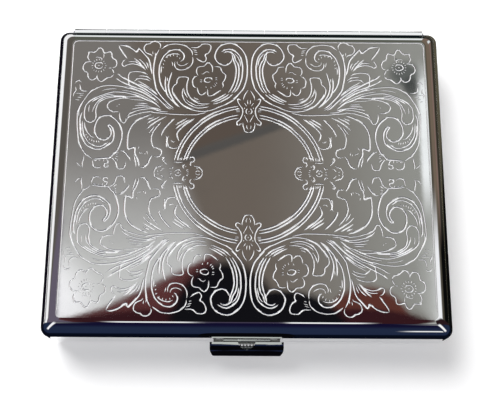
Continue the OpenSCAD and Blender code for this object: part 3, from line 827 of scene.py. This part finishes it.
# The floor glows a little to the camera and in reflections alone, so that it looks near white.
def addFloor():
    mat = bpy.data.materials.new("pale_floor")
    mat.use_nodes = True
    tree = mat.node_tree
    shader = tree.nodes["Principled BSDF"]
    shader.inputs["Base Color"].default_value = rgb(*[floorLook["tone"]] * 3)
    shader.inputs["Roughness"].default_value = floorLook["rough"]
    shader.inputs["Specular IOR Level"].default_value = 0.0
    shader.inputs["Emission Color"].default_value = rgb(1, 1, 1)
    seen = (lightPath(tree, "Is Camera Ray") + lightPath(tree, "Is Glossy Ray")).atMost(1.0)
    link(tree, seen * floorLook["glow"], shader.inputs["Emission Strength"])
    half = floorLook["half"]
    stagePlane("floor", (-half, -half), (half, half), floorLook["z"], mat)


addFloor()

# The cards glow, and their tones are painted reflections, dark or pale.
# Studio cards round the case, which only reflections show. A card lies at "z" between two corners,
# and its tone goes from near to far between two places along its axis, 0 for x and 1 for y.
nearBlack = {"near": (0.002, 0.002, 0.003), "far": (0.003, 0.003, 0.005), "axis": 1,
             "places": (-0.07, -0.09)}
cards = {
    "front_card": {"low": (-1.99, -1.99), "high": (1.99, -0.0412), "z": 0.0003,
                   "near": (0.002, 0.0034, 0.009), "far": (0.014, 0.022, 0.055), "axis": 1,
                   "places": (-0.07, -0.15)},
    # Near-black sheets over the clasp and on the floor under it: painted dark reflections in the clasp's
    # bar.
    "clasp_card": {"low": (-0.0115, -0.30), "high": (0.0115, -0.0412), "z": 0.0125, **nearBlack},
    "clasp_floor_card": {"low": (-0.0115, -0.30), "high": (0.0115, -0.0436), "z": 0.0006,
                         **nearBlack},
    # A pale glowing sheet just over the slot behind the clasp's lip: a painted reflection that lightens
    # that recess.
    "gap_painted_reflection_card": {"low": (-0.0082, -0.0404), "high": (0.0082, -0.0386), "z": 0.0126,
                 "near": (0.50, 0.53, 0.50), "far": (0.50, 0.53, 0.50), "axis": 1,
                 "places": (-0.07, -0.09)},
    "left_card": {"low": (-0.24, -0.0412), "high": (-0.0485, 0.12), "z": 0.0003,
                  "near": (0.006, 0.005, 0.009), "far": (0.02, 0.017, 0.025), "axis": 0,
                  "places": (-0.12, -0.2)},
    "right_card": {"low": (0.0485, -0.0412), "high": (1.99, 0.12), "z": 0.0003,
                   "near": (0.003, 0.003, 0.003), "far": (0.10, 0.09, 0.06), "axis": 1,
                   "places": (0.005, 0.025)},
    # The back card's pale underside and the barrel card glow: painted pale reflections in the hinge
    # barrel.
    "back_card": {"low": (-0.0475, 0.0395), "high": (0.0475, 0.066), "z": 0.0125,
                  "near": (0.004, 0.007, 0.008), "far": (0.03, 0.035, 0.035), "axis": 0,
                  "places": (-0.02, -0.045), "under": (0.9, 0.92, 0.92)},
    "barrel_card": {"low": (-0.0475, 0.0665), "high": (0.0475, 0.12), "z": 0.0003,
                    "near": (0.80, 0.85, 0.83), "far": (0.70, 0.72, 0.70), "axis": 0,
                    "places": (-0.02, -0.045)},
    "far_card": {"low": (-1.99, 0.125), "high": (1.99, 1.99), "z": 0.0003,
                 "near": (0.006, 0.010, 0.011), "far": (0.03, 0.035, 0.035), "axis": 1,
                 "places": (0.3, 0.6)},
}


def glow(tree, colour):
    made = addNode(tree, "ShaderNodeEmission", None, {"Color": colour, "Strength": 1.0})
    return Shade(tree, made.outputs[0])


def mixShaders(tree, factor, first, second):
    made = addNode(tree, "ShaderNodeMixShader", None, {0: factor, 1: first, 2: second})
    return Shade(tree, made.outputs[0])


def splitCoordinate(tree, kind):
    where = addNode(tree, "ShaderNodeTexCoord")
    split = addNode(tree, "ShaderNodeSeparateXYZ", None, {0: Shade(tree, where.outputs[kind])})
    return [Shade(tree, split.outputs[k]) for k in range(3)]


def addCard(name, card):
    mat = bpy.data.materials.new(name)
    mat.use_nodes = True
    tree = mat.node_tree
    tree.nodes.remove(tree.nodes["Principled BSDF"])
    away = splitCoordinate(tree, "Object")[card["axis"]].soft(*card["places"])
    shade = glow(tree, mixColour(tree, away, rgb(*card["near"]), rgb(*card["far"])))
    if "under" in card:
        turned = Shade(tree, addNode(tree, "ShaderNodeNewGeometry").outputs["Backfacing"])
        shade = mixShaders(tree, turned, shade, glow(tree, rgb(*card["under"])))
    link(tree, shade, tree.nodes["Material Output"].inputs["Surface"])
    plane = stagePlane(name, card["low"], card["high"], card["z"], mat)
    plane.visible_camera = False
    plane.visible_diffuse = False
    plane.visible_shadow = False
    plane.visible_transmission = False


for name, card in cards.items():
    addCard(name, card)

# The room, painted by direction: dx to the right, dy to the back and dz up. lidX and lidY are the
# place on the flat lid, in millimetres, where the photo's camera sees that direction mirrored.
# "horizon" keeps a level direction from giving an endless distance.
eye = {"x": -0.5, "y": -63.5, "rise": 201, "horizon": 0.03}
world = bpy.data.worlds.new("studio")
bpy.context.scene.world = world
world.use_nodes = True
tree = world.node_tree
dx, dy, dz = splitCoordinate(tree, "Generated")
lidX = dx / dz.atLeast(eye["horizon"]) * eye["rise"] + eye["x"]
lidY = dy / dz.atLeast(eye["horizon"]) * eye["rise"] + eye["y"]
flatY = lidY.atLeast(-36)  # the tones at the lid's front border go on over the roll
diagonal = math.sqrt(0.5)
streakWhite = rgb(0.92, 0.93, 0.95)


def band(value, low, rise, fall, high):
    return value.soft(low, rise) * (1 - value.soft(fall, high))


def lobe(x, y, rx, ry, inner=0.86, outer=1.08):
    a = (lidX - x) / rx
    b = (flatY - y) / ry
    return 1 - (a * a + b * b).root().soft(inner, outer)


def lidTones():
    # On the flat lid: each mask with its tone, painted in this order. Places are millimetres on
    # the lid, and in the next functions parts of a direction too.
    across = lidY - (4 + 0.38 * (lidX + 13))
    middle = band(lidX, -19, -13, 5, 15)
    wedge = (flatY + 32.6 - 0.5 * (lidX + 34.2)).atMost(flatY + 34.8 - 0.3 * (lidX + 42.3))
    leftLight = mixColour(tree, lidY.soft(-39, 17), rgb(0.66, 0.67, 0.66), rgb(0.19, 0.178, 0.165))
    return [
        # Lighter to the right, darker at the back left, and light on the left.
        (lidX.soft(-1, 45), rgb(0.30, 0.305, 0.282)),
        (band(lidY, 13, 21, 31, 37) * band(lidX, -25, -18, -7, 1) * 0.85, rgb(0.112, 0.093, 0.078)),
        (1 - (lidX + 0.38 * (lidY + 23.3)).soft(-11.3, -4.2), leftLight),
        # The slanting bar across the round field.
        (band(across, 0.8, 2.4, 8, 15) * middle * 0.9, rgb(0.098, 0.076, 0.062)),
        (band(across, -1.2, 0.4, 1.2, 3.2) * middle, rgb(0.088, 0.083, 0.078)),
        # Bright at the front left corner and along the right border.
        (lobe(-50, -35, 19, 22, 0.45, 1.0), rgb(0.95, 0.95, 0.96)),
        (lidX.soft(40.8, 42.2) * (1 - lidY.soft(21, 31)) * lidY.soft(-14, 2),
         rgb(0.90, 0.93, 0.93)),
        (lidX.soft(38, 44) * (1 - lidY.soft(-20, -8)) * 0.35, rgb(0.75, 0.77, 0.75)),
        # Dark over the back right flower, and at the front right corner.
        (lobe(38.4, 26.2, 5.4, 4.6, 0.35, 1.0) * 0.8, rgb(0.075, 0.085, 0.082)),
        (lobe(39.8, 22.9, 2.9, 3.6, 0.25, 1.0) * 0.85, rgb(0.045, 0.05, 0.05)),
        (lobe(36, -37, 9.5, 6.5, 0.3, 1.0) * 0.9, rgb(0.095, 0.065, 0.055)),
        # Wine red and black along the front.
        (lobe(27.5, -37, 10.5, 10.5), rgb(0.105, 0.034, 0.026)),
        ((1 - wedge.soft(-0.9, 0.9)) * (1 - lidX.soft(-9, -5)), rgb(0.105, 0.034, 0.034)),
        (lobe(-12, -37.8, 33, 6).atLeast(lobe(26, -37.8, 19, 6)), rgb(0.035, 0.010, 0.013)),
        (lobe(-5, -38, 13.5, 17.5).atLeast(lobe(8, -37, 15, 9.5)), rgb(0.006, 0.006, 0.008)),
    ]


def backTones():
    # On the back edge's roll.
    north = dy.soft(0.45, 0.49)
    low = dz + 0.9 * (0 - dx).atLeast(0)
    return [
        (lidY.soft(35.6, 41), rgb(0.098, 0.105, 0.083)),
        (band(low, 0.28, 0.36, 0.61, 0.69) * north, rgb(0.82, 0.85, 0.85)),
        ((1 - low.soft(0.24, 0.31)) * north, rgb(0.006, 0.011, 0.011)),
    ]


def sideTones():
    # On the right roll, then on the left roll.
    west, east = (0 - dx).soft(0.214, 0.25), dx.soft(0.214, 0.25)
    rear, front = dy.soft(0.2, 0.3), 1 - dy.soft(0.05, 0.10)
    low = (1 - rear) * (1 - dz.soft(0.5, 0.68))
    return [
        (east, mixColour(tree, low, rgb(0.080, 0.071, 0.053), rgb(0.003, 0.003, 0.003))),
        (east * front, rgb(0.022, 0.010, 0.013)),
        (east * band(dz, 0.34, 0.46, 0.80, 0.88) * rear, rgb(0.17, 0.13, 0.095)),
        (east * band(dz, 0.40, 0.44, 0.52, 0.58) * rear, rgb(0.23, 0.15, 0.13)),
        (east * band(dz, 0.10, 0.16, 0.24, 0.30) * rear, rgb(0.012, 0.010, 0.008)),
        (band(dx, 0.2, 0.235, 0.54, 0.66) * (1 - dy.soft(0.20, 0.29)) * dy.soft(0.04, 0.12),
         streakWhite),
        (west, mixColour(tree, dz.soft(0.46, 0.53), rgb(0.95, 0.95, 0.95),
                         rgb(0.105, 0.095, 0.083))),
        (west * (1 - dz.soft(0.03, 0.22)) * (1 - dy.soft(0.22, 0.30)), rgb(0.13, 0.12, 0.13)),
        ((1 - lidX.soft(-43.9, -42.7)) * (1 - lidY.soft(-15, 0)) * dz.soft(0.5, 0.6),
         rgb(0.13, 0.11, 0.15)),
    ]


def frontTones():
    # On the front edge's roll: navy, with two bright strips and a faint line between them.
    navy = mixColour(tree, dz.soft(0.55, 0.88), rgb(0.015, 0.024, 0.057), rgb(0.006, 0.005, 0.027))
    strips = 0.9 * band(lidX, -37, -31, -16, -8) + band(lidX, 7, 11, 26, 33)
    return [
        (1 - lidY.soft(-130, -118), navy),
        (band(lidY, -136, -126, -106, -97) * strips, rgb(0.95, 0.96, 0.98)),
        (band(lidX, -16, -9, 8, 11) * band(lidY, -134, -126, -108, -100), rgb(0.055, 0.045, 0.08)),
    ]


def cornerTones():
    # Streaks in the two front corners and the right back one, and along the front at the right.
    tones = []
    for turn in (1, -1):
        apart = (turn * dx - dy) * diagonal
        out = (0 - turn * dx - dy) * diagonal
        tones.append((band(apart, -0.15, -0.09, 0.09, 0.15) * band(out, 0.36, 0.5, 0.93, 0.98),
                      streakWhite))
    tones.append((band((dx - dy) * diagonal, -0.14, -0.06, 0.06, 0.14)
                  * band((dx + dy) * diagonal, 0.72, 0.80, 0.90, 0.95), rgb(0.75, 0.80, 0.80)))
    tones.append((band(dz, 0.25, 0.31, 0.38, 0.44) * band(dx, 0.19, 0.22, 0.32, 0.5)
                  * (1 - dy.soft(-0.6, -0.5)), streakWhite))
    return tones


room = rgb(0.148, 0.124, 0.104)
for mask, tone in lidTones() + backTones() + sideTones() + frontTones() + cornerTones():
    room = mixColour(tree, mask, room, tone)
ground = tree.nodes["Background"]
link(tree, room, ground.inputs["Color"])
plain = addNode(tree, "ShaderNodeBackground", None, {"Color": rgb(1, 1, 1), "Strength": 1.0})
both = mixShaders(tree, lightPath(tree, "Is Camera Ray"), Shade(tree, ground.outputs[0]),
                  Shade(tree, plain.outputs[0]))
link(tree, both, tree.nodes["World Output"].inputs["Surface"])

# Soft square lamps, which reflections don't show.
lamps = {"key": {"place": (-0.28, 0.37, 0.75), "side": 0.45, "power": 7.8},
         "fill": {"place": (0.5, -0.2, 0.8), "side": 0.8, "power": 0.8}}
aim = Vector((0, 0, 0.01))


def addLamp(name, lamp):
    data = bpy.data.lights.new(name, "AREA")
    data.shape = "RECTANGLE"
    data.size = data.size_y = lamp["side"]
    data.energy = lamp["power"]
    obj = place(name, data)
    obj.location = lamp["place"]
    obj.rotation_euler = (aim - obj.location).to_track_quat("-Z", "Y").to_euler()
    obj.visible_glossy = False


for name, lamp in lamps.items():
    addLamp(name, lamp)

# The photo's view: off vertical, turned and rolled, and so far from its target, in millimetres.
view = {"tilt": 15.87, "yaw": -1.04, "roll": 1.39, "distance": 227.8, "target": (0.64, -1.20, 0),
        "lens": 63.72, "sensor": 36, "nearest": 10}


def addCamera():
    turn = Matrix.Rotation(math.radians(view["yaw"]), 3, "Z")
    tilt, roll = math.radians(view["tilt"]), math.radians(view["roll"])
    right = turn @ Vector((1, 0, 0))
    upward = turn @ Vector((0, math.cos(tilt), math.sin(tilt)))
    forward = turn @ Vector((0, math.sin(tilt), -math.cos(tilt)))
    rolledRight = math.cos(roll) * right + math.sin(roll) * upward
    rolledUp = math.cos(roll) * upward - math.sin(roll) * right
    data = bpy.data.cameras.new("photo_view")
    data.lens = view["lens"]
    data.sensor_width = view["sensor"]
    data.clip_start = view["nearest"] * mm
    obj = place("photo_view", data)
    facing = Matrix((rolledRight, rolledUp, -forward)).transposed().to_4x4()
    spot = (Vector(view["target"]) - view["distance"] * forward) * mm
    obj.matrix_world = Matrix.Translation(spot) @ facing
    bpy.context.scene.camera = obj


addCamera()
bpy.context.scene.view_settings.view_transform = "Standard"
print("stage made")
